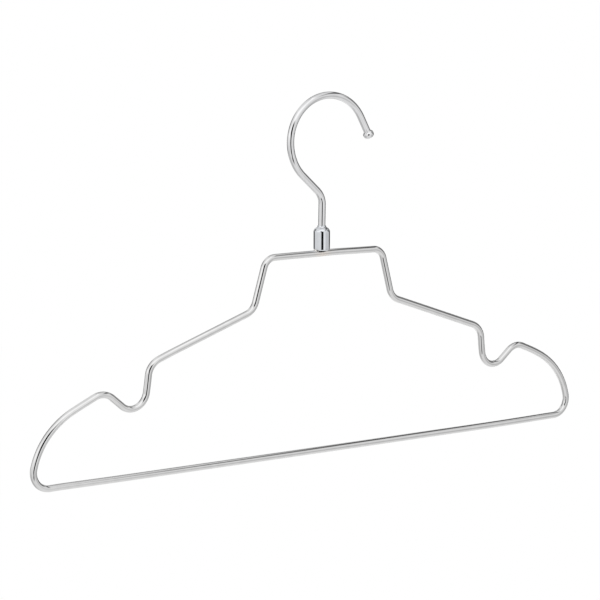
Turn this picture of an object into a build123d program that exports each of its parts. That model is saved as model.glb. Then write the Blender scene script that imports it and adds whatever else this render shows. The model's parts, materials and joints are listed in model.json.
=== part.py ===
from build123d import *
from math import atan2, cos, hypot, pi, radians, sin, tan
import os

# Chrome-plated wire trouser hanger.
# One bent and butt-welded wire makes the frame, and a swivel hook turns in a ferrule welded on it.
# All sizes are in millimetres, and the frame lies in the XZ plane.
# Heights are measured up from the bottom bar's centreline, spreads across the frame's middle,
# and insets inwards from the frame's end.
# A corner point is where the straight runs on the two sides of a bend would meet.
# A bend's size is the radius of the wire's centreline.

# Frame wire
frame_wire_diameter = 4.3
overall_width = 420.0
top_bar_height = 129.2
top_corner_spread = 89.0
top_corner_bend = 8.2
knee_spread = 107.3
knee_height = 96.2
knee_bend = 10.9
shoulder_end_inset = 81.2
shoulder_end_height = 69.6
shoulder_end_bend = 11.9
notch_corner_inset = 76.5
notch_corner_height = 32.8
notch_bend = 10.2
crest_corner_inset = 49.9
crest_corner_height = 55.9
crest_bend = 11.1
outer_corner_height = 36.2
side_lean_degrees = 14.3
side_straight = 0.6
bottom_corner_bend = 11.0

# Weld that closes the frame wire into a loop, under the ferrule
closing_weld_length = 0.8
closing_weld_crown = 0.1

# Swivel ferrule, standing on the top bar a little left of the frame's middle
swivel_offset = 2.7
ferrule_diameter = 10.6
ferrule_wall = 1.85
ferrule_barrel = 11.8
ferrule_rim_round = 0.85
ferrule_lip_wall = 0.3
ferrule_sink = 0.1
dome_turn_degrees = 64.2
dome_bend_share = 0.64

# Fillet weld between the ferrule's rim and the top bar
rim_weld_leg = 1.1
rim_weld_width = 3.8

# Swivel fit
swivel_clearance = 0.08
swivel_play = 0.1

# Hook wire
hook_wire_diameter = 4.6
shank_reach = 13.2
neck_bend = 12.4
neck_lean_degrees = 48.1
neck_length = 15.2
bow_inside_diameter = 52.9
bow_sweep_degrees = 199.2
tip_length = 12.7
bead_diameter = 7.0
bead_length = 4.6
bead_band = 0.4

# Upset head that keeps the hook in the ferrule
head_side_gap = 0.35
head_length = 2.4
head_round = 0.6

# Sizes that follow
frame_wire_radius = frame_wire_diameter / 2
hook_wire_radius = hook_wire_diameter / 2
ferrule_radius = ferrule_diameter / 2
cavity_radius = ferrule_radius - ferrule_wall
bore_radius = hook_wire_radius + swivel_clearance
top_bar_crown = top_bar_height + frame_wire_radius
ferrule_base = top_bar_crown - ferrule_sink
ceiling_height = ferrule_base + ferrule_barrel
head_top = ceiling_height - swivel_play


def dome_bends():
    """Radii of the dome and of the flare above it, which turn by the same angle from barrel to lip."""
    narrowing = ferrule_radius - bore_radius - ferrule_lip_wall
    both = narrowing / (1 - cos(radians(dome_turn_degrees)))
    dome = both * dome_bend_share
    return dome, both - dome


ferrule_height = ferrule_barrel + sum(dome_bends()) * sin(radians(dome_turn_degrees))
shank_top = ferrule_base + ferrule_height + shank_reach


def side_corners():
    """Outer shoulder and bottom corner of the right side, each as X, Z and bend."""
    lean = radians(side_lean_degrees)
    tangent = bottom_corner_bend / tan((pi / 2 - lean) / 2)
    half_width = overall_width / 2 - frame_wire_radius
    bottom_x = half_width - bottom_corner_bend + tangent
    outer_x = bottom_x - outer_corner_height * tan(lean)
    side = hypot(bottom_x - outer_x, outer_corner_height)
    crest_x = overall_width / 2 - crest_corner_inset
    fall = atan2(crest_corner_height - outer_corner_height, outer_x - crest_x)
    turn = pi / 2 - lean - fall
    outer_bend = (side - tangent - side_straight) / tan(turn / 2)
    return [(outer_x, outer_corner_height, outer_bend), (bottom_x, 0, bottom_corner_bend)]


def frame_corners():
    """Corners of the frame's right half from the top bar to the bottom bar, each as X, Z and bend."""
    end = overall_width / 2
    return [
        (top_corner_spread / 2, top_bar_height, top_corner_bend),
        (knee_spread / 2, knee_height, knee_bend),
        (end - shoulder_end_inset, shoulder_end_height, shoulder_end_bend),
        (end - notch_corner_inset, notch_corner_height, notch_bend),
        (end - crest_corner_inset, crest_corner_height, crest_bend),
        *side_corners(),
    ]


def frame_path():
    """Centreline of the frame wire, clockwise from the closing weld and back to it."""
    right = frame_corners()
    left = [(-x, z, bend) for x, z, bend in reversed(right)]
    corners = right + left
    start = (-swivel_offset + closing_weld_length / 2, top_bar_height)
    end = (-swivel_offset - closing_weld_length / 2, top_bar_height)
    points = [start, *[(x, z) for x, z, bend in corners], end]
    return Plane.XZ * FilletPolyline(*points, radius=[bend for x, z, bend in corners])


def wire_along(path, radius):
    """Round wire along a path."""
    section = Plane(origin=path @ 0, z_dir=path % 0) * Circle(radius)
    return sweep(section, path=path)


def frame_wire():
    """The frame's single bent wire, whose two ends face each other under the ferrule."""
    return wire_along(frame_path(), frame_wire_radius)


def closing_weld():
    """Butt weld between the wire's two ends, dressed down to a faint crown."""
    half = closing_weld_length / 2
    low = (-half, frame_wire_radius)
    middle = (0, frame_wire_radius + closing_weld_crown)
    high = (half, frame_wire_radius)
    crown = ThreePointArc(low, middle, high)
    outline = crown + Polyline(high, (half, 0), (-half, 0), low)
    disc = revolve(make_face(Plane.XZ * outline), axis=Axis.X)
    return Pos(-swivel_offset, 0, top_bar_height) * disc


def top_bar_cutter():
    """The top bar's straight length, which seats the ferrule and the welds."""
    bar = Cylinder(frame_wire_radius, top_corner_spread, rotation=(0, 90, 0))
    return Pos(-swivel_offset, 0, top_bar_height) * bar


def on_swivel_axis(outline, height):
    """Solid turned from a half section of radius and height, stood on the swivel's axis."""
    turned = revolve(make_face(Plane.XZ * outline), axis=Axis.Z)
    return Pos(-swivel_offset, 0, height) * turned


def swivel_ferrule():
    """Bullet-shaped shell, open below, with a flat ceiling that rests on the hook's head."""
    dome_bend, flare_bend = dome_bends()
    rim = Line((cavity_radius, 0), (ferrule_radius - ferrule_rim_round, 0))
    rim_round = JernArc(rim @ 1, rim % 1, ferrule_rim_round, 90)
    barrel = Line(rim_round @ 1, (ferrule_radius, ferrule_barrel))
    dome = JernArc(barrel @ 1, barrel % 1, dome_bend, dome_turn_degrees)
    flare = JernArc(dome @ 1, dome % 1, flare_bend, -dome_turn_degrees)
    inside = Polyline(
        flare @ 1,
        (bore_radius, ferrule_height),
        (bore_radius, ferrule_barrel),
        (cavity_radius, ferrule_barrel),
        (cavity_radius, 0),
    )
    shell = on_swivel_axis(rim + rim_round + barrel + dome + flare + inside, ferrule_base)
    return shell - top_bar_cutter()


def ferrule_weld():
    """Two small concave fillets, left and right, where the ferrule's rim meets the top bar."""
    inner = ferrule_radius - ferrule_rim_round
    outer = ferrule_radius + rim_weld_leg
    toe = JernArc((outer, 0), (-1, 0), rim_weld_leg, -90)
    rest = Polyline(
        toe @ 1,
        (inner, rim_weld_leg),
        (inner, -frame_wire_radius),
        (outer, -frame_wire_radius),
        (outer, 0),
    )
    ring = on_swivel_axis(toe + rest, top_bar_crown)
    lane = Pos(-swivel_offset, 0, top_bar_crown) * Box(2 * outer, rim_weld_width, frame_wire_diameter)
    return (ring & lane) - swivel_ferrule() - top_bar_cutter()


def hook_path():
    """Centreline of the hook wire, from its head to the middle of the bead at its tip."""
    shank = Line((0, head_top - head_length), (0, shank_top))
    neck = JernArc(shank @ 1, shank % 1, neck_bend, neck_lean_degrees)
    run = PolarLine(neck @ 1, neck_length, direction=neck % 1)
    bow = JernArc(run @ 1, run % 1, bow_inside_diameter / 2 + hook_wire_radius, -bow_sweep_degrees)
    tip = PolarLine(bow @ 1, tip_length, direction=bow % 1)
    return Plane.XZ * Wire([shank, neck, run, bow, tip])


def swivel_hook():
    """Hook wire with a rounded bead at its tip and an upset head inside the ferrule."""
    path = hook_path()
    bead_plane = Plane(origin=path @ 1, z_dir=path % 1)
    bead = Cylinder(bead_diameter / 2, bead_length)
    bead = fillet(bead.edges().filter_by(GeomType.CIRCLE), (bead_length - bead_band) / 2)
    head = Cylinder(cavity_radius - head_side_gap, head_length, align=(Align.CENTER, Align.CENTER, Align.MIN))
    head = fillet(head.edges().group_by(Axis.Z)[0], head_round)
    hook = wire_along(path, hook_wire_radius) + bead_plane * bead + Pos(path @ 0) * head
    return Pos(-swivel_offset, 0, 0) * hook


def rail_seat():
    """Top of the bow's inside, where the hanger rests on a rail."""
    lean = radians(neck_lean_degrees)
    bow_radius = bow_inside_diameter / 2 + hook_wire_radius
    across = (neck_bend + bow_radius) * cos(lean) - neck_bend - neck_length * sin(lean)
    up = (neck_bend + bow_radius) * sin(lean) + neck_length * cos(lean)
    return Vector(across - swivel_offset, 0, shank_top + up + bow_inside_diameter / 2)


def main():
    """Writes each piece with the origin at the rail seat."""
    pieces = {
        "frame_wire": frame_wire(),
        "closing_weld": closing_weld(),
        "swivel_ferrule": swivel_ferrule(),
        "ferrule_weld": ferrule_weld(),
        "swivel_hook": swivel_hook(),
    }
    seat = rail_seat()
    os.makedirs("parts", exist_ok=True)
    for name, piece in pieces.items():
        placed = Pos(-seat) * piece
        placed.label = name
        export_step(placed, f"parts/{name}.step")
    print("rail seat above the bottom bar's centreline:", round(seat.Z, 2))
    print("rail seat from the frame's middle:", round(seat.X, 2))
    print("frame wire length:", round(frame_path().length, 1))
    print("hook wire length:", round(hook_path().length, 1))


main()
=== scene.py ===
import json
from collections import namedtuple
from math import acos, atan2, cos, exp, hypot, pi, radians, sin, sqrt, tan

import bmesh
import bpy
from mathutils import Matrix, Vector, noise


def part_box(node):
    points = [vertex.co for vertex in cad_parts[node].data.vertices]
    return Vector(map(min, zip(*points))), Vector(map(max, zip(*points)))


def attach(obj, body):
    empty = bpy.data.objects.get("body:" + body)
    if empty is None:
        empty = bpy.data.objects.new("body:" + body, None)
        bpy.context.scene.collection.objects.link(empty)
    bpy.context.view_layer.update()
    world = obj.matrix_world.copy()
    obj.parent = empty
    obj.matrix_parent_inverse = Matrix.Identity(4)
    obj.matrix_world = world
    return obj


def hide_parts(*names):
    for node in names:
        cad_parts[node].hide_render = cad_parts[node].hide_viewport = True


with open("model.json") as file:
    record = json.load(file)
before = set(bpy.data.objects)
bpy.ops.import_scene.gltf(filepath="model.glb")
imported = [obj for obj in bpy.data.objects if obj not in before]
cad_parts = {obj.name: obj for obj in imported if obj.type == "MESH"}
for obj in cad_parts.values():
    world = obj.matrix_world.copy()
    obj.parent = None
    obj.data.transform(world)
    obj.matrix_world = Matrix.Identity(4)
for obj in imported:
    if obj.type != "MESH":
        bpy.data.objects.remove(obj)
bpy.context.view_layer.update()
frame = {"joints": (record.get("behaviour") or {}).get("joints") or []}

# Chrome wire trouser hanger. Metres, Z up, origin where the hook's bow rests on a rail.

# Camera, fitted to the photograph's frame of 600 pixels
IMAGE_PIXELS = 600
FOCAL_PIXELS = 2132.5
CAMERA_PLACE = Vector((-0.7667, -1.1119, 0.1026))
CAMERA_YAW = radians(33.8985)
CAMERA_PITCH = radians(9.7483)
CAMERA_ROLL = radians(0.9086)

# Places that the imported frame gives
WIRE_LOW, WIRE_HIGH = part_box("frame_wire")
HOOK_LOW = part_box("swivel_hook")[0]
FERRULE_LOW, FERRULE_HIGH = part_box("swivel_ferrule")
SWIVEL_X = frame["joints"][0]["pos_m"][0]
MIDDLE_X = (WIRE_LOW.x + WIRE_HIGH.x) / 2
HALF_WIDTH = (WIRE_HIGH.x - WIRE_LOW.x) / 2
WIRE_RADIUS = (WIRE_HIGH.y - WIRE_LOW.y) / 2
BAR_Z = WIRE_LOW.z + WIRE_RADIUS

# Frame wire's corners: inset from the frame's end or distance from its middle, height, bend radius
TOP_CORNER_X, TOP_CORNER_Z, TOP_CORNER_BEND = 0.0445, 0.1292, 0.0082
KNEE_X, KNEE_Z, KNEE_BEND = 0.05365, 0.0962, 0.0109
SHOULDER_INSET, SHOULDER_Z, SHOULDER_BEND = 0.0812, 0.0696, 0.0119
NOTCH_INSET, NOTCH_Z, NOTCH_BEND = 0.0765, 0.0328, 0.0102
CREST_INSET, CREST_Z, CREST_BEND = 0.0499, 0.0559, 0.0111
OUTER_Z = 0.0362
SIDE_LEAN = radians(14.3)
SIDE_STRAIGHT = 0.0006
BOTTOM_BEND = 0.0110
CLOSING_GAP = 0.0008
CLOSING_CROWN = 0.0001

# What bending leaves on the frame wire, and how far it sways out of its plane
PRESS_SHARE = 0.030
THIN_SHARE = 0.012
SWAY = 0.00012
SWAY_LENGTH = 0.11

# Where the photographed hanger is bent a little out of true, on the frame's plane:
# X from the middle, Z above the bottom bar's centreline, reach, and shift in X and Z
OUT_OF_TRUE = {
    "bar_end_right": (0.205, 0.000, 0.040, -0.0001, 0.0006),
    "crest_slope_right": (0.176, 0.048, 0.009, 0.0002, 0.0004),
    "notch_foot_right": (0.132, 0.048, 0.006, 0.0002, 0.0001),
    "shoulder_end_right": (0.129, 0.066, 0.007, 0.0002, 0.0001),
    "top_corner_right": (0.0445, 0.129, 0.014, 0, -0.0002),
    "top_bar_by_weld": (0.008, 0.129, 0.011, 0, 0.00025),
    "top_corner_left": (-0.0445, 0.129, 0.014, 0, -0.0002),
    "shoulder_end_left": (-0.125, 0.070, 0.008, 0.0001, -0.0002),
    "notch_side_left": (-0.1305, 0.057, 0.011, 0.0004, 0),
    "notch_foot_left": (-0.141, 0.043, 0.008, 0, -0.0002),
    "crest_left": (-0.162, 0.054, 0.010, 0, -0.0002),
    "outer_shoulder_left": (-0.190, 0.040, 0.014, 0.0002, -0.0001),
    "bottom_corner_left": (-0.206, 0.004, 0.009, 0, -0.0003),
    "bar_end_left": (-0.190, 0.000, 0.025, 0, 0.0002),
}

# The same for the hook, whose bow is bent a little narrow
HOOK_OUT_OF_TRUE = {
    "bow_left": (-0.0262, 0.191, 0.018, 0.00014, 0),
}

# Hook
HOOK_RADIUS = 0.0023
NECK_BEND = 0.0124
NECK_LEAN = radians(48.1)
NECK_LENGTH = 0.0152
BOW_RADIUS = 0.02875
BOW_SWEEP = radians(199.2)
TIP_LENGTH = 0.0127
SHANK_REACH = 0.0132
BEAD_RADIUS = 0.0035
BEAD_HALF = 0.0023
BEAD_ROUND = 0.0021
BEAD_NECK_FILLET = 0.0004
BEAD_END_CROWN = 0.00012
BEAD_END_SHARES = (0.7, 0.35, 0.03)
HEAD_RADIUS = 0.0031
HEAD_LENGTH = 0.0024
HEAD_ROUND = 0.0006
HEAD_EDGE = 0.00015
HEAD_SIDE_SHARE = 0.6
HEAD_FACE_SHARES = (0.02, 0.4, 0.8)

# Ferrule
FERRULE_RADIUS = (FERRULE_HIGH.x - FERRULE_LOW.x) / 2
CAVITY_RADIUS = 0.00345
BORE_RADIUS = 0.00238
FERRULE_BARREL = 0.0118
FERRULE_RIM_ROUND = 0.00085
FERRULE_LIP_WALL = 0.0003
FERRULE_LIP_ROUND = 0.0001
DOME_TURN = radians(64.2)
DOME_SHARE = 0.64
CAVITY_EDGE = 0.00012

# The photographed ferrule stands a little askew. Its bore stays true, so that the hook turns freely in it.
FERRULE_LEAN = radians(0.85)

# Fillet weld at the ferrule's rim
RIM_WELD_LEG = 0.0011
RIM_WELD_HALF = 0.0019
RIM_WELD_RIPPLE = 0.16
RIM_WELD_RIPPLE_SCALE = 2600
RIM_WELD_RIPPLE_APART = 5
RIM_WELD_RIPPLE_ROW = 0.7
RIM_WELD_SINK = 0.0002
RIM_WELD_END_TAPER = 0.02
RIM_WELD_TOE_SHARE = 0.9
RIM_WELD_TOP_SHARE = 0.1

# Weld that closes the frame wire
CLOSING_RIPPLE = 0.25
CLOSING_RIPPLE_SCALE = 2500
CLOSING_RIPPLE_ROUND = 3
WELD_HEAT_REACH = 0.0048

# Mesh steps
RING_SIDES = 56
LATHE_SIDES = 112
ROUND_STEPS = 6
EDGE_STEPS = 3
FILLET_STEPS = 10
CAVITY_STEPS = 4
BARREL_STEPS = 10
DOME_STEPS = 12
BEAD_STEPS = 10
BEAD_NECK_STEPS = 4
LEAST_BEND_STEPS = 4
CLOSING_STEPS = 8
RIM_WELD_STEPS = 36
BEND_STEP = radians(3)
RUN_STEP = 0.003
TENT_SEGMENTS = 96
TENT_RINGS = 48
SHARP_EDGE = radians(38)

Station = namedtuple("Station", "place way bend inside radius")


def make_camera():
    """The photograph's camera."""
    yaw_forward = Vector((sin(CAMERA_YAW), cos(CAMERA_YAW), 0))
    right = Vector((cos(CAMERA_YAW), -sin(CAMERA_YAW), 0))
    forward = yaw_forward * cos(CAMERA_PITCH) - Vector((0, 0, sin(CAMERA_PITCH)))
    up = Vector((0, 0, cos(CAMERA_PITCH))) + yaw_forward * sin(CAMERA_PITCH)
    rolled_right = right * cos(CAMERA_ROLL) + up * sin(CAMERA_ROLL)
    rolled_up = up * cos(CAMERA_ROLL) - right * sin(CAMERA_ROLL)
    data = bpy.data.cameras.new("camera")
    data.lens = FOCAL_PIXELS / IMAGE_PIXELS * data.sensor_width
    camera = bpy.data.objects.new("camera", data)
    camera.matrix_world = Matrix((
        (rolled_right.x, rolled_up.x, -forward.x, CAMERA_PLACE.x),
        (rolled_right.y, rolled_up.y, -forward.y, CAMERA_PLACE.y),
        (rolled_right.z, rolled_up.z, -forward.z, CAMERA_PLACE.z),
        (0, 0, 0, 1),
    ))
    bpy.context.scene.collection.objects.link(camera)
    bpy.context.scene.camera = camera


# Wire centrelines


def run_stations(start, end, radius):
    """Stations along a straight run, without its last point."""
    way = end - start
    steps = max(1, round(way.length / RUN_STEP))
    return [Station(start + way * i / steps, way.normalized(), 0, 0, radius) for i in range(steps)]


def bend_stations(start, way, bend, turn, radius):
    """Stations along a bend in the XZ plane, anticlockwise for a positive turn, without its last point."""
    side = Vector((-way.z, 0, way.x)) * (1 if turn > 0 else -1)
    centre = start + side * bend
    steps = max(LEAST_BEND_STEPS, round(abs(turn) / BEND_STEP))
    stations = []
    for i in range(steps):
        swing = Matrix.Rotation(-turn * i / steps, 3, "Y")
        share = sin(pi * i / steps) ** 0.5
        inside = -1 if turn > 0 else 1
        stations.append(Station(centre + swing @ (start - centre), swing @ way, share, inside, radius))
    return stations


def rounded_path(points, bends, radius):
    """Stations along straight runs joined by round bends, from the first point to the last."""
    stations = []
    place = points[0]
    for before, corner, after, bend in zip(points, points[1:], points[2:], bends):
        inward = (corner - before).normalized()
        outward = (after - corner).normalized()
        turn = atan2(inward.x * outward.z - inward.z * outward.x, inward.dot(outward))
        reach = bend * tan(abs(turn) / 2)
        stations += run_stations(place, corner - inward * reach, radius)
        stations += bend_stations(corner - inward * reach, inward, bend, turn, radius)
        place = corner + outward * reach
    stations += run_stations(place, points[-1], radius)
    stations.append(Station(points[-1], (points[-1] - place).normalized(), 0, 0, radius))
    return stations


def frame_corners():
    """Right half's corners as X from the middle, Z above the bottom bar's centreline, and bend."""
    reach = BOTTOM_BEND / tan((pi / 2 - SIDE_LEAN) / 2)
    bottom_x = HALF_WIDTH - WIRE_RADIUS - BOTTOM_BEND + reach
    outer_x = bottom_x - OUTER_Z * tan(SIDE_LEAN)
    crest_x = HALF_WIDTH - CREST_INSET
    fall = atan2(CREST_Z - OUTER_Z, outer_x - crest_x)
    side = hypot(bottom_x - outer_x, OUTER_Z)
    outer_bend = (side - reach - SIDE_STRAIGHT) / tan((pi / 2 - SIDE_LEAN - fall) / 2)
    return [
        (TOP_CORNER_X, TOP_CORNER_Z, TOP_CORNER_BEND),
        (KNEE_X, KNEE_Z, KNEE_BEND),
        (HALF_WIDTH - SHOULDER_INSET, SHOULDER_Z, SHOULDER_BEND),
        (HALF_WIDTH - NOTCH_INSET, NOTCH_Z, NOTCH_BEND),
        (crest_x, CREST_Z, CREST_BEND),
        (outer_x, OUTER_Z, outer_bend),
        (bottom_x, 0, BOTTOM_BEND),
    ]


def bent_aside(place, bends):
    """How far a table of small bends moves a place on the frame's plane."""
    shift = Vector()
    for x, z, reach, shift_x, shift_z in bends.values():
        away = hypot(place.x - MIDDLE_X - x, place.z - BAR_Z - z)
        shift += Vector((shift_x, 0, shift_z)) * exp(-(away / reach) ** 2)
    return shift


def swayed(station):
    """The station moved by what the frame is out of true, and by a hair's breadth out of its plane."""
    away = min(1, abs(station.place.x - SWIVEL_X) / SWAY_LENGTH)
    sway = Vector((0, SWAY * away * noise.noise(station.place / SWAY_LENGTH * 2), 0))
    return station._replace(place=station.place + bent_aside(station.place, OUT_OF_TRUE) + sway)


def frame_stations():
    """The frame wire's centreline from one side of the closing weld round to the other."""
    right = frame_corners()
    corners = right + [(-x, z, bend) for x, z, bend in reversed(right)]
    points = [Vector((MIDDLE_X + x, 0, BAR_Z + z)) for x, z, bend in corners]
    top = BAR_Z + TOP_CORNER_Z
    start = Vector((SWIVEL_X + CLOSING_GAP / 2, 0, top))
    end = Vector((SWIVEL_X - CLOSING_GAP / 2, 0, top))
    path = rounded_path([start, *points, end], [bend for x, z, bend in corners], WIRE_RADIUS)
    return [swayed(station) for station in path]


def quarter(steps):
    """Angles of a quarter turn, both ends included."""
    return [pi / 2 * i / steps for i in range(steps + 1)]


def head_profile():
    """Upset head at the wire's foot, as distance from the foot and radius."""
    flat = HEAD_RADIUS - HEAD_ROUND
    points = [(0, flat * share) for share in HEAD_FACE_SHARES]
    points += [(HEAD_ROUND * (1 - cos(a)), flat + HEAD_ROUND * sin(a)) for a in quarter(ROUND_STEPS)]
    edge = HEAD_LENGTH - HEAD_EDGE
    rim = HEAD_RADIUS - HEAD_EDGE
    points += [(HEAD_LENGTH * HEAD_SIDE_SHARE, HEAD_RADIUS)]
    points += [(edge + HEAD_EDGE * sin(a), rim + HEAD_EDGE * cos(a)) for a in quarter(EDGE_STEPS)]
    toe = HOOK_RADIUS + HEAD_EDGE
    points += [
        (HEAD_LENGTH + HEAD_EDGE * (1 - cos(a)), toe - HEAD_EDGE * sin(a))
        for a in quarter(EDGE_STEPS)
    ]
    return points


def bead_profile():
    """Formed bead at the wire's tip, as distance from the bead's middle and radius."""
    band = BEAD_HALF - BEAD_ROUND
    hub = BEAD_RADIUS - BEAD_ROUND
    reach = BEAD_ROUND + BEAD_NECK_FILLET
    drop = HOOK_RADIUS + BEAD_NECK_FILLET - hub
    touch = acos(drop / reach)
    neck = -band - reach * sin(touch)
    points = []
    for i in range(BEAD_NECK_STEPS + 1):
        a = (pi / 2 - touch) * i / BEAD_NECK_STEPS
        points.append((neck + BEAD_NECK_FILLET * sin(a), HOOK_RADIUS + BEAD_NECK_FILLET * (1 - cos(a))))
    for i in range(1, BEAD_STEPS + 1):
        a = touch * (1 - i / BEAD_STEPS)
        points.append((-band - BEAD_ROUND * sin(a), hub + BEAD_ROUND * cos(a)))
    for a in quarter(BEAD_STEPS):
        points.append((band + BEAD_ROUND * sin(a), hub + BEAD_ROUND * cos(a)))
    end = BEAD_HALF - BEAD_END_CROWN
    points[-1] = (end, hub)
    for share in BEAD_END_SHARES:
        points.append((end + BEAD_END_CROWN * (1 - share ** 2), hub * share))
    return points


def hook_stations():
    """The hook wire's centreline, from its head in the ferrule to the bead's far side."""
    up = Vector((0, 0, 1))
    foot = Vector((SWIVEL_X, 0, HOOK_LOW.z))
    stations = [Station(foot + up * s, up, 0, 0, r) for s, r in head_profile()]
    bend_start = Vector((SWIVEL_X, 0, FERRULE_HIGH.z + SHANK_REACH))
    stations += run_stations(foot + up * (HEAD_LENGTH + 2 * HEAD_EDGE), bend_start, HOOK_RADIUS)
    stations += bend_stations(bend_start, up, NECK_BEND, NECK_LEAN, HOOK_RADIUS)
    lean = Matrix.Rotation(-NECK_LEAN, 3, "Y") @ up
    neck_end = bend_start + Vector((-NECK_BEND * (1 - cos(NECK_LEAN)), 0, NECK_BEND * sin(NECK_LEAN)))
    run_end = neck_end + lean * NECK_LENGTH
    stations += run_stations(neck_end, run_end, HOOK_RADIUS)
    stations += bend_stations(run_end, lean, BOW_RADIUS, -BOW_SWEEP, HOOK_RADIUS)
    centre = run_end + Vector((lean.z, 0, -lean.x)) * BOW_RADIUS
    sweep = Matrix.Rotation(BOW_SWEEP, 3, "Y")
    bow_end = centre + sweep @ (run_end - centre)
    way = sweep @ lean
    middle = bow_end + way * TIP_LENGTH
    bead = bead_profile()
    stations += run_stations(bow_end, middle + way * bead[0][0], HOOK_RADIUS)
    stations += [Station(middle + way * s, way, 0, 0, r) for s, r in bead]
    return [
        station._replace(place=station.place + bent_aside(station.place, HOOK_OUT_OF_TRUE))
        for station in stations
    ]


# Meshes


def finish_mesh(made, name, material):
    """The bmesh as a smooth-shaded object whose sharp edges stay sharp."""
    bmesh.ops.recalc_face_normals(made, faces=made.faces)
    for face in made.faces:
        face.smooth = True
    for edge in made.edges:
        edge.smooth = len(edge.link_faces) == 2 and edge.calc_face_angle(0) < SHARP_EDGE
    mesh = bpy.data.meshes.new(name)
    made.to_mesh(mesh)
    made.free()
    mesh.materials.append(material)
    piece = bpy.data.objects.new(name, mesh)
    bpy.context.scene.collection.objects.link(piece)
    return piece


def bridge(made, low, high):
    """Quads between two closed rings with as many points each."""
    for i in range(len(low)):
        j = (i + 1) % len(low)
        made.faces.new((low[i], low[j], high[j], high[i]))


def skin(made, rings):
    """Closed skin over a row of rings, with a flat cap at each end."""
    for low, high in zip(rings, rings[1:]):
        bridge(made, low, high)
    made.faces.new(reversed(rings[0]))
    made.faces.new(rings[-1])


def section_radius(station, angle):
    """The wire's radius at an angle of its section: pressed inside a bend and thinned outside it."""
    lean = station.inside * cos(angle)
    press = PRESS_SHARE * max(0, lean) ** 4
    thin = THIN_SHARE * max(0, -lean) ** 2
    return station.radius * (1 - (press + thin) * station.bend)


def tube(name, stations, material, heat):
    """Wire as a closed mesh that keeps each point's place on the wire, and its heat, for the material."""
    made = bmesh.new()
    coords = made.verts.layers.float_vector.new("wire_coords")
    warmth = made.verts.layers.float.new("weld_warmth")
    across = Vector((0, 1, 0))
    rings = []
    along = 0
    last = stations[0].place
    for station in stations:
        along += (station.place - last).length
        last = station.place
        side = across.cross(station.way).normalized()
        ring = []
        for i in range(RING_SIDES):
            angle = 2 * pi * i / RING_SIDES
            spoke = side * cos(angle) + across * sin(angle)
            vert = made.verts.new(station.place + spoke * section_radius(station, angle))
            vert[coords] = Vector((cos(angle) * station.radius, sin(angle) * station.radius, along))
            vert[warmth] = heat(station.place)
            ring.append(vert)
        rings.append(ring)
    skin(made, rings)
    return finish_mesh(made, name, material)


def weld_heat(place):
    """How strongly the resistance weld under the ferrule has tinted the plate at a place."""
    weld = Vector((SWIVEL_X, 0, BAR_Z + TOP_CORNER_Z))
    return exp(-((place - weld).length / WELD_HEAT_REACH) ** 2)


def no_heat(place):
    """The hook isn't welded, so no heat tints its plate."""
    return 0


def closing_weld(material):
    """Butt weld between the frame wire's ends, with an uneven crown."""
    half = CLOSING_GAP / 2
    along = Vector((1, 0, 0))
    made = bmesh.new()
    coords = made.verts.layers.float_vector.new("wire_coords")
    warmth = made.verts.layers.float.new("weld_warmth")
    rings = []
    for k in range(CLOSING_STEPS + 1):
        x = half * (2 * k / CLOSING_STEPS - 1)
        place = Vector((SWIVEL_X + x, 0, BAR_Z + TOP_CORNER_Z))
        centre = swayed(Station(place, along, 0, 0, WIRE_RADIUS)).place
        ring = []
        for i in range(RING_SIDES):
            angle = 2 * pi * i / RING_SIDES
            spoke = Vector((0, cos(angle), sin(angle)))
            grain = noise.noise(along * x * CLOSING_RIPPLE_SCALE + spoke * CLOSING_RIPPLE_ROUND)
            ripple = 1 - CLOSING_RIPPLE + CLOSING_RIPPLE * grain
            radius = WIRE_RADIUS + CLOSING_CROWN * (1 - (x / half) ** 2) * ripple
            vert = made.verts.new(centre + spoke * radius)
            vert[coords] = Vector((cos(angle) * radius, sin(angle) * radius, x))
            vert[warmth] = 1
            ring.append(vert)
        rings.append(ring)
    skin(made, rings)
    return finish_mesh(made, "closing_weld_crown", material)


def bar_top(y):
    """Height of the top bar's surface at a distance from its middle, or below all if it misses the bar."""
    if abs(y) >= WIRE_RADIUS:
        return WIRE_LOW.z
    return BAR_Z + TOP_CORNER_Z + sqrt(WIRE_RADIUS ** 2 - y ** 2)


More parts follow.
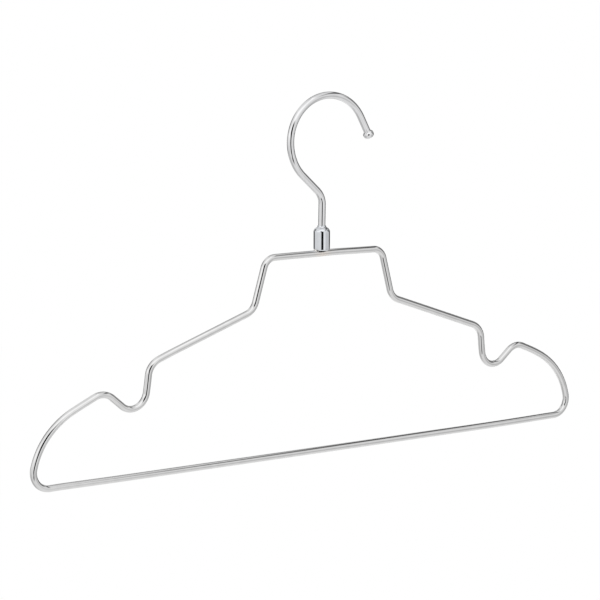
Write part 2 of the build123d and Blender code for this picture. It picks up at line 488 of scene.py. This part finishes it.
def ferrule_profile():
    """Closed half section of the ferrule: radius, height above the rim and how far it follows the seat."""
    narrowing = FERRULE_RADIUS - BORE_RADIUS - FERRULE_LIP_WALL
    both = narrowing / (1 - cos(DOME_TURN))
    dome = both * DOME_SHARE
    flare = both - dome
    height = FERRULE_HIGH.z - FERRULE_LOW.z
    edge = FERRULE_RADIUS - FERRULE_RIM_ROUND
    points = [(CAVITY_RADIUS, 0, 1), ((CAVITY_RADIUS + edge) / 2, 0, 1)]
    points += [
        (edge + FERRULE_RIM_ROUND * sin(a), FERRULE_RIM_ROUND * (1 - cos(a)), 1)
        for a in quarter(ROUND_STEPS)
    ]
    for i in range(1, BARREL_STEPS + 1):
        share = i / BARREL_STEPS
        z = FERRULE_RIM_ROUND + (FERRULE_BARREL - FERRULE_RIM_ROUND) * share
        points.append((FERRULE_RADIUS, z, 1 - share))
    for i in range(1, DOME_STEPS + 1):
        a = DOME_TURN * i / DOME_STEPS
        points.append((FERRULE_RADIUS - dome * (1 - cos(a)), FERRULE_BARREL + dome * sin(a), 0))
    r, z, follow = points[-1]
    for i in range(1, DOME_STEPS + 1):
        a = DOME_TURN * (1 - i / DOME_STEPS)
        points.append((r - flare * (cos(a) - cos(DOME_TURN)), z + flare * (sin(DOME_TURN) - sin(a)), 0))
    points.pop()
    points += [
        (BORE_RADIUS + FERRULE_LIP_WALL, height - FERRULE_LIP_ROUND, 0),
        (BORE_RADIUS + FERRULE_LIP_WALL - FERRULE_LIP_ROUND, height, 0),
        (BORE_RADIUS + FERRULE_LIP_ROUND, height, 0),
        (BORE_RADIUS, height - FERRULE_LIP_ROUND, 0),
        (BORE_RADIUS, FERRULE_BARREL + CAVITY_EDGE, 0),
        (BORE_RADIUS + CAVITY_EDGE, FERRULE_BARREL, 0),
        (CAVITY_RADIUS - CAVITY_EDGE, FERRULE_BARREL, 0),
        (CAVITY_RADIUS, FERRULE_BARREL - CAVITY_EDGE, 0),
    ]
    for i in range(1, CAVITY_STEPS):
        share = i / CAVITY_STEPS
        points.append((CAVITY_RADIUS, (FERRULE_BARREL - CAVITY_EDGE) * (1 - share), share))
    return points


def ferrule(material):
    """Bullet-shaped sleeve turned about the swivel's axis, with its rim saddled on the top bar."""
    made = bmesh.new()
    profile = ferrule_profile()
    rings = []
    for k in range(LATHE_SIDES):
        angle = 2 * pi * k / LATHE_SIDES
        ring = []
        for r, z, follow in profile:
            seat = max(0, bar_top(r * sin(angle)) - FERRULE_LOW.z)
            height = FERRULE_LOW.z + z + seat * follow
            in_bore = r < BORE_RADIUS + FERRULE_LIP_ROUND
            lean = 0 if in_bore else (FERRULE_HIGH.z - height) * tan(FERRULE_LEAN)
            place = Vector((SWIVEL_X + r * cos(angle) + lean, r * sin(angle), height))
            ring.append(made.verts.new(place))
        rings.append(ring)
    for k in range(LATHE_SIDES):
        bridge(made, rings[k], rings[(k + 1) % LATHE_SIDES])
    return finish_mesh(made, "ferrule_shell", material)


def rim_weld(material):
    """Two small concave fillets of weld metal under the ferrule's rim, left and right."""
    made = bmesh.new()
    sink = RIM_WELD_SINK
    lean = (FERRULE_HIGH.z - FERRULE_LOW.z) * tan(FERRULE_LEAN)
    for side in (-1, 1):
        rows = []
        for k in range(RIM_WELD_STEPS + 1):
            y = RIM_WELD_HALF * cos(pi * k / RIM_WELD_STEPS)
            taper = sqrt(max(RIM_WELD_END_TAPER ** 2, 1 - (y / RIM_WELD_HALF) ** 2))
            spot = Vector((side * RIM_WELD_RIPPLE_APART, y * RIM_WELD_RIPPLE_SCALE, RIM_WELD_RIPPLE_ROW))
            grain = noise.noise(spot)
            ripple = 1 - RIM_WELD_RIPPLE * (0.5 + 0.5 * grain)
            leg = RIM_WELD_LEG * taper * ripple
            under = FERRULE_RIM_ROUND * (1 - taper)
            inner = sqrt((FERRULE_RADIUS - FERRULE_RIM_ROUND) ** 2 - y ** 2)
            wall = sqrt((FERRULE_RADIUS - under) ** 2 - y ** 2)
            floor = bar_top(y)
            top = max(floor, FERRULE_LOW.z) + leg
            row = [(wall + leg * (1 - cos(a)), top - (top - floor) * sin(a)) for a in quarter(FILLET_STEPS)]
            row.append((wall + leg * RIM_WELD_TOE_SHARE, floor - sink))
            row.append((inner, floor - sink))
            row.append((inner, max(floor, FERRULE_LOW.z) + sink))
            row.append((wall - sink, top - leg * RIM_WELD_TOP_SHARE))
            full = sqrt(taper)
            row = [(inner + (x - inner) * full, z) for x, z in row]
            rows.append([made.verts.new(Vector((SWIVEL_X + lean + side * x, y, z))) for x, z in row])
        for low, high in zip(rows, rows[1:]):
            bridge(made, low, high)
        made.faces.new(rows[0])
        made.faces.new(reversed(rows[-1]))
    return finish_mesh(made, "rim_weld", material)


# Materials

# Colours of the plate
WIRE_TINT = (0.643, 0.642, 0.641)
# The hook's plate is a little lighter than the frame wire's: that lift is a painted highlight, for the
# brighter light on the hook
HOOK_TINT_WITH_PAINTED_HIGHLIGHT = (0.670, 0.671, 0.678)
FERRULE_TINT = (0.635, 0.652, 0.678)
WELD_TINT = (0.70, 0.68, 0.65)

# Noise scales per metre, the marks' depths in metres, and the shares by which they change the plate
DRAWN_LINE_SCALES = (5200, 5200, 60)
TURNED_LINE_SCALES = (90, 90, 5200)
WIRE_HAZE_SCALE = 260
SLEEVE_HAZE_SCALE = 320
SPECK_SCALE = 3800
WELD_LUMP_SCALE = 1500
WELD_GRAIN_SCALE = 9000
DRAWN_LINE_DEPTH = 0.0000006
TURNED_LINE_DEPTH = 0.0000005
WIRE_HAZE_DEPTH = 0.000012
SLEEVE_HAZE_DEPTH = 0.00001
WELD_LUMP_DEPTH = 0.00005
WELD_GRAIN_DEPTH = 0.000004
WIRE_ROUGHNESS = (0.02, 0.05)
SLEEVE_ROUGHNESS = (0.03, 0.06)
WELD_METAL_ROUGHNESS = (0.10, 0.22)
DRAWN_LINE_ROUGHNESS = 0.02
TURNED_LINE_ROUGHNESS = 0.03
SPECK_COLOUR = (0.30, 0.29, 0.28, 1)
SPECK_STRENGTH = 0.35
WIRE_DULL_SHARE = 0.93
SLEEVE_DULL_SHARE = 0.94
WELD_DARK_SHARE = 0.86
WELD_WARM_SHARES = (1.05, 0.975, 0.91)
WELD_WARM_STRENGTH = 0.9
WELD_HEAT_ROUGHNESS = 0.10

# Parts of a noise's range that a mark uses
NOISE_MIDDLE = (0.3, 0.7)
NOISE_WIDE = (0.25, 0.75)
LINE_CRESTS = (0.4, 0.8)
SPECK_CRESTS = (0.70, 0.78)


class Nodes:
    """Short calls for a material's nodes."""

    def __init__(self, material):
        self.tree = material.node_tree

    def add(self, kind, **settings):
        node = self.tree.nodes.new(kind)
        for name, value in settings.items():
            setattr(node, name, value)
        return node

    def link(self, source, target):
        self.tree.links.new(source, target)

    def feed(self, socket, value):
        """Links a socket to an output, or sets its value."""
        if isinstance(value, bpy.types.NodeSocket):
            self.link(value, socket)
        else:
            socket.default_value = value

    def math(self, operation, *values, clamp=False):
        node = self.add("ShaderNodeMath", operation=operation, use_clamp=clamp)
        for socket, value in zip(node.inputs, values):
            self.feed(socket, value)
        return node.outputs[0]

    def attribute(self, name, output):
        return self.add("ShaderNodeAttribute", attribute_name=name).outputs[output]

    def scaled(self, vector, scale):
        node = self.add("ShaderNodeMapping")
        self.link(vector, node.inputs["Vector"])
        node.inputs["Scale"].default_value = scale
        return node.outputs[0]

    def noise(self, vector, scale, detail=2, roughness=0.5):
        node = self.add("ShaderNodeTexNoise")
        self.link(vector, node.inputs["Vector"])
        node.inputs["Scale"].default_value = scale
        node.inputs["Detail"].default_value = detail
        node.inputs["Roughness"].default_value = roughness
        return node.outputs["Fac"]

    def ranged(self, value, low, high, to_low, to_high, smooth=False):
        node = self.add("ShaderNodeMapRange", interpolation_type="SMOOTHSTEP" if smooth else "LINEAR")
        names = ("Value", "From Min", "From Max", "To Min", "To Max")
        for name, number in zip(names, (value, low, high, to_low, to_high)):
            self.feed(node.inputs[name], number)
        return node.outputs[0]

    def mix(self, share, low, high):
        node = self.add("ShaderNodeMix", data_type="RGBA")
        self.feed(node.inputs["Factor"], share)
        self.feed(node.inputs[6], low)
        self.feed(node.inputs[7], high)
        return node.outputs[2]

    def bump(self, height, distance, normal=None):
        node = self.add("ShaderNodeBump")
        node.inputs["Strength"].default_value = 1
        node.inputs["Distance"].default_value = distance
        self.link(height, node.inputs["Height"])
        if normal:
            self.link(normal, node.inputs["Normal"])
        return node.outputs[0]


def new_material(name):
    """A material, short calls for its nodes, and its shader."""
    material = bpy.data.materials.new(name)
    material.use_nodes = True
    return material, Nodes(material), material.node_tree.nodes["Principled BSDF"]


def plated_wire(name, tint):
    """Bright chrome on drawn wire: faint lines along the wire, haze, specks, and a warm tint at the weld."""
    material, nodes, shader = new_material(name)
    shader.inputs["Metallic"].default_value = 1
    place = nodes.attribute("wire_coords", "Vector")
    lines = nodes.noise(nodes.scaled(place, DRAWN_LINE_SCALES), 1, detail=3, roughness=0.6)
    haze = nodes.noise(place, WIRE_HAZE_SCALE, detail=3, roughness=0.55)
    specks = nodes.noise(place, SPECK_SCALE, detail=1)
    speck = nodes.ranged(specks, *SPECK_CRESTS, 0, 1, smooth=True)
    dull = tuple(c * WIRE_DULL_SHARE for c in tint)
    plate = nodes.mix(nodes.ranged(haze, *NOISE_MIDDLE, 0, 1), (*dull, 1), (*tint, 1))
    warm = tuple(c * share for c, share in zip(tint, WELD_WARM_SHARES))
    warmth = nodes.attribute("weld_warmth", "Fac")
    plate = nodes.mix(nodes.math("MULTIPLY", warmth, WELD_WARM_STRENGTH), plate, (*warm, 1))
    plate = nodes.mix(nodes.math("MULTIPLY", speck, SPECK_STRENGTH), plate, SPECK_COLOUR)
    nodes.link(plate, shader.inputs["Base Color"])
    rough = nodes.ranged(haze, *NOISE_WIDE, *WIRE_ROUGHNESS)
    rough = nodes.math("ADD", rough, nodes.ranged(lines, *LINE_CRESTS, 0, DRAWN_LINE_ROUGHNESS))
    rough = nodes.math("ADD", rough, nodes.math("MULTIPLY", warmth, WELD_HEAT_ROUGHNESS))
    nodes.link(rough, shader.inputs["Roughness"])
    fine = nodes.bump(lines, DRAWN_LINE_DEPTH)
    nodes.link(nodes.bump(haze, WIRE_HAZE_DEPTH, fine), shader.inputs["Normal"])
    return material


def plated_sleeve(name, tint):
    """Bright chrome on a turned sleeve: faint rings round its axis."""
    material, nodes, shader = new_material(name)
    shader.inputs["Metallic"].default_value = 1
    place = nodes.add("ShaderNodeTexCoord").outputs["Object"]
    rings = nodes.noise(nodes.scaled(place, TURNED_LINE_SCALES), 1, detail=3, roughness=0.6)
    haze = nodes.noise(place, SLEEVE_HAZE_SCALE, detail=3, roughness=0.55)
    dull = tuple(c * SLEEVE_DULL_SHARE for c in tint)
    plate = nodes.mix(nodes.ranged(haze, *NOISE_MIDDLE, 0, 1), (*dull, 1), (*tint, 1))
    nodes.link(plate, shader.inputs["Base Color"])
    rough = nodes.ranged(haze, *NOISE_WIDE, *SLEEVE_ROUGHNESS)
    rough = nodes.math("ADD", rough, nodes.ranged(rings, *LINE_CRESTS, 0, TURNED_LINE_ROUGHNESS))
    nodes.link(rough, shader.inputs["Roughness"])
    fine = nodes.bump(rings, TURNED_LINE_DEPTH)
    nodes.link(nodes.bump(haze, SLEEVE_HAZE_DEPTH, fine), shader.inputs["Normal"])
    return material


def weld_metal(name, tint):
    """Plated weld metal: uneven, a little matt and warm."""
    material, nodes, shader = new_material(name)
    shader.inputs["Metallic"].default_value = 1
    place = nodes.add("ShaderNodeTexCoord").outputs["Object"]
    lumps = nodes.noise(place, WELD_LUMP_SCALE, detail=3, roughness=0.6)
    grain = nodes.noise(place, WELD_GRAIN_SCALE)
    dark = tuple(c * WELD_DARK_SHARE for c in tint)
    colour = nodes.mix(nodes.ranged(lumps, *NOISE_MIDDLE, 0, 1), (*dark, 1), (*tint, 1))
    nodes.link(colour, shader.inputs["Base Color"])
    rough = nodes.ranged(grain, *NOISE_MIDDLE, *WELD_METAL_ROUGHNESS)
    nodes.link(rough, shader.inputs["Roughness"])
    fine = nodes.bump(grain, WELD_GRAIN_DEPTH)
    nodes.link(nodes.bump(lumps, WELD_LUMP_DEPTH, fine), shader.inputs["Normal"])
    return material


# Studio

# A soft tent round the hanger, seen only in reflections. Its cards are soft-edged panels, listed as:
# azimuth from the camera's side, elevation, half width, half height, roll and edge in degrees, and brightness
TENT_RADIUS = 1.2
TENT_HEIGHT = 0.110
TENT_CENTRE = Vector((MIDDLE_X, 0, BAR_Z + TENT_HEIGHT))
TENT_FACES_CAMERA = radians(145)
TENT_LEVEL = 1.05
CARDS = {
    "ceiling_back": (180, 75, 60, 10, 0, 10, 0.8),
    "wall_right": (-105, -20, 50, 15, 0, 15, 0.7),
    "wall_left": (100, -40, 50, 25, 0, 15, 0.7),
    "low_back_left": (165, -45, 25, 10, 0, 10, 1.3),
    "softbox_top": (0, 45, 45, 20, 0, 20, 1.5),
    "softbox_side": (45, 15, 20, 10, 0, 10, 1.5),
    "top_light": (-40, 70, 10, 20, 0, 10, 1.5),
    "bright_strip": (-45, -5, 5, 15, 0, 5, 1.3),
    "front_dark_upper": (-5, 15, 20, 10, 20, 5, 0),
    "front_dark_lower": (-10, -5, 15, 15, 0, 5, 0),
    "front_dark_foot": (-5, -25, 20, 5, -20, 5, 0.1),
    "left_grey": (120, 20, 20, 15, -35, 10, 0.2),
    "left_dark_patch": (120, -5, 10, 10, 0, 5, 0),
    "left_grey_tail": (150, -5, 25, 5, 5, 5, 0.3),
    "right_grey_wide": (-140, 15, 30, 20, 0, 10, 0.4),
    "right_grey": (-115, 20, 20, 15, 0, 10, 0.2),
    "right_high_bar": (-115, 50, 35, 5, 0, 5, 0),
    "right_high_end": (-75, 40, 15, 5, -25, 5, 0.3),
    "right_high_start": (-140, 45, 15, 5, 25, 5, 0),
    "right_arch_leg": (-160, 25, 5, 25, -30, 5, 0.1),
    "back_dark_under": (-150, -20, 25, 10, 0, 10, 0.4),
    "back_dark_low": (-150, -5, 25, 10, 0, 5, 0),
    "edge_high": (175, 40, 25, 15, 0, 10, 0.3),
    "edge_low": (180, -20, 10, 15, 0, 10, 0.3),
}
FLOOR_Z = -1.45
FLOOR_HALF = 6
FLOOR_COLOUR = 0.85


def tent_material():
    """Emission by direction: a pale tent with the cards mixed in one after another."""
    material = bpy.data.materials.new("tent")
    material.use_nodes = True
    material.node_tree.nodes.clear()
    nodes = Nodes(material)
    split = nodes.add("ShaderNodeSeparateXYZ")
    nodes.link(nodes.add("ShaderNodeTexCoord").outputs["Object"], split.inputs[0])
    x, y, z = split.outputs
    azimuth = nodes.math("ARCTAN2", x, y)
    elevation = nodes.math("ARCSINE", nodes.math("DIVIDE", z, TENT_RADIUS))
    level = TENT_LEVEL
    for card in CARDS.values():
        side, height, half_width, half_height, roll, edge = (radians(v) for v in card[:6])
        u = nodes.math("WRAP", nodes.math("SUBTRACT", azimuth, side), pi, -pi)
        v = nodes.math("SUBTRACT", elevation, height)
        turned_u = nodes.math(
            "ADD", nodes.math("MULTIPLY", u, cos(roll)), nodes.math("MULTIPLY", v, sin(roll))
        )
        turned_v = nodes.math(
            "SUBTRACT", nodes.math("MULTIPLY", v, cos(roll)), nodes.math("MULTIPLY", u, sin(roll))
        )
        within = [
            nodes.ranged(nodes.math("ABSOLUTE", value), half + edge, half - edge, 0, 1, smooth=True)
            for value, half in ((turned_u, half_width), (turned_v, half_height))
        ]
        share = nodes.math("MULTIPLY", *within)
        node = nodes.add("ShaderNodeMix", data_type="FLOAT")
        nodes.feed(node.inputs[0], share)
        nodes.feed(node.inputs[2], level)
        nodes.feed(node.inputs[3], card[6])
        level = node.outputs[0]
    light = nodes.add("ShaderNodeEmission")
    nodes.link(level, light.inputs["Strength"])
    nodes.link(light.outputs[0], nodes.add("ShaderNodeOutputMaterial").inputs["Surface"])
    return material


def make_tent():
    """The tent's sphere, which only reflections see."""
    made = bmesh.new()
    bmesh.ops.create_uvsphere(made, u_segments=TENT_SEGMENTS, v_segments=TENT_RINGS, radius=TENT_RADIUS)
    bmesh.ops.reverse_faces(made, faces=made.faces)
    mesh = bpy.data.meshes.new("tent")
    made.to_mesh(mesh)
    made.free()
    mesh.materials.append(tent_material())
    tent = bpy.data.objects.new("tent", mesh)
    tent.location = TENT_CENTRE
    tent.rotation_euler.z = TENT_FACES_CAMERA
    bpy.context.scene.collection.objects.link(tent)
    tent.visible_camera = False
    tent.visible_diffuse = False
    tent.visible_shadow = False
    tent.visible_volume_scatter = False


def make_floor():
    """Plain pale floor, whose colour is lifted to white for camera and reflections but keeps its shadow."""
    material, nodes, shader = new_material("floor")
    shader.inputs["Base Color"].default_value = (FLOOR_COLOUR, FLOOR_COLOUR, FLOOR_COLOUR, 1)
    shader.inputs["Roughness"].default_value = 1
    shader.inputs["Specular IOR Level"].default_value = 0
    shader.inputs["Emission Color"].default_value = (1, 1, 1, 1)
    ray = nodes.add("ShaderNodeLightPath")
    seen = nodes.math("ADD", ray.outputs["Is Camera Ray"], ray.outputs["Is Glossy Ray"])
    seen = nodes.math("ADD", seen, ray.outputs["Is Transmission Ray"], clamp=True)
    nodes.link(nodes.math("MULTIPLY", seen, 1 - FLOOR_COLOUR), shader.inputs["Emission Strength"])
    made = bmesh.new()
    bmesh.ops.create_grid(made, x_segments=1, y_segments=1, size=FLOOR_HALF)
    mesh = bpy.data.meshes.new("floor")
    made.to_mesh(mesh)
    made.free()
    mesh.materials.append(material)
    floor = bpy.data.objects.new("floor", mesh)
    floor.location.z = FLOOR_Z
    bpy.context.scene.collection.objects.link(floor)


def make_world():
    """White surroundings, which light the scene evenly."""
    world = bpy.data.worlds.new("studio")
    world.use_nodes = True
    world.node_tree.nodes["Background"].inputs["Color"].default_value = (1, 1, 1, 1)
    bpy.context.scene.world = world
    bpy.context.scene.view_settings.view_transform = "Standard"


# Scene


def dress(piece, body, node):
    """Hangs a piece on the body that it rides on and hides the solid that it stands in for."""
    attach(piece, body)
    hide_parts(node)


make_camera()
wire_chrome = plated_wire("wire_chrome", WIRE_TINT)
# The hook's chrome uses the lifted tint, a painted highlight
hook_chrome = plated_wire("hook_chrome", HOOK_TINT_WITH_PAINTED_HIGHLIGHT)
ferrule_chrome = plated_sleeve("ferrule_chrome", FERRULE_TINT)
weld_chrome = weld_metal("weld_chrome", WELD_TINT)
dress(tube("bent_wire", frame_stations(), wire_chrome, weld_heat), "frame", "frame_wire")
dress(closing_weld(wire_chrome), "frame", "closing_weld")
dress(ferrule(ferrule_chrome), "frame", "swivel_ferrule")
dress(rim_weld(weld_chrome), "frame", "ferrule_weld")
dress(tube("hook_wire", hook_stations(), hook_chrome, no_heat), "hook", "swivel_hook")
make_tent()
make_floor()
make_world()
